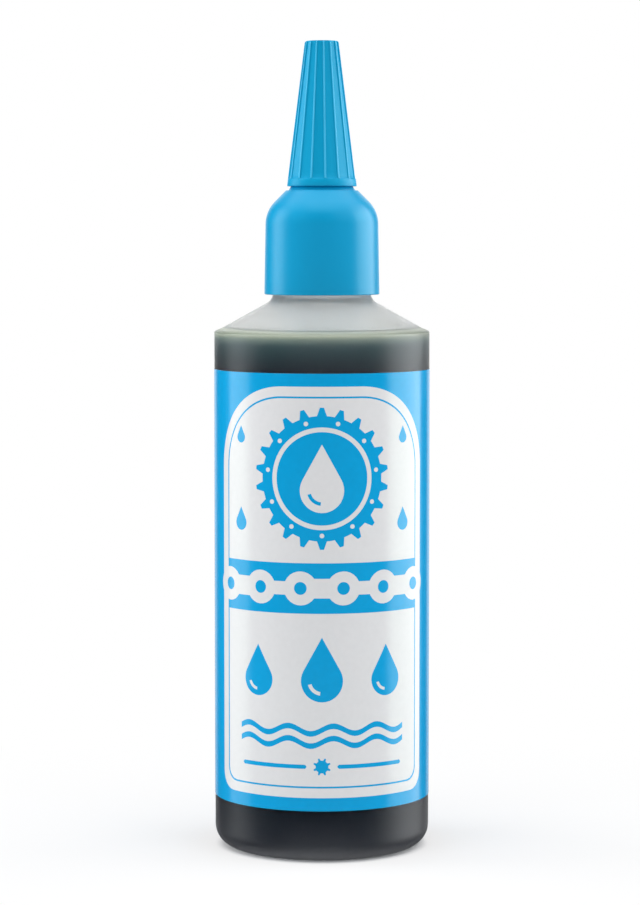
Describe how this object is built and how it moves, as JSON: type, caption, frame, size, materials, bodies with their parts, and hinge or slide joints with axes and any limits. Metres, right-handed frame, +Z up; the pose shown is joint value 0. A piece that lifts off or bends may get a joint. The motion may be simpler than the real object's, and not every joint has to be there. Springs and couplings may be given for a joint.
{
  "type": "chain lube bottle",
  "caption": "Round squeeze bottle of chain oil with a wrap label, a screw-on spout closure and a ribbed conical over-cap.",
  "frame": {"origin": "on the bottle's axis, at the plane of its foot", "axes": "+Z up the bottle's axis, -Y out of the front of the label, +X to the right as the label is looked at"},
  "size_m": [0.0428, 0.0428, 0.1597],
  "materials": {
    "natural_plastic": "natural blow-moulded polyethylene, milky and half see-through",
    "oil": "dark green chain oil",
    "label_film": "satin printed film, a blue field with a pale panel",
    "foam": "pale closed-cell foam",
    "blue_plastic": "satin moulded polypropylene, sky blue",
    "blue_plastic_cap": "satin moulded polypropylene, sky blue"
  },
  "bodies": {
    "bottle": {"bottle": "natural_plastic", "chain_oil": "oil", "label": "label_film"},
    "wad": {"seal_wad": "foam"},
    "closure": {"spout_cap": "blue_plastic"},
    "cap": {"over_cap": "blue_plastic_cap"}
  },
  "joints": [
    {"name": "closure_rise", "type": "slide", "parent": "bottle", "child": "wad", "axis": [0, 0, 1], "range_m": [0, 0.016]},
    {"name": "closure_turn", "type": "hinge", "parent": "wad", "child": "closure", "pos_m": [0, 0, 0.118], "axis": [0, 0, 1], "range_deg": [0, 1800]},
    {"name": "over_cap_pull", "type": "slide", "parent": "closure", "child": "cap", "axis": [0, 0, 1], "range_m": [0, 0.03]}
  ],
  "couplings": [
    {"joint": "closure_rise", "follows": "closure_turn", "m_per_rad": 0.0005053}
  ]
}
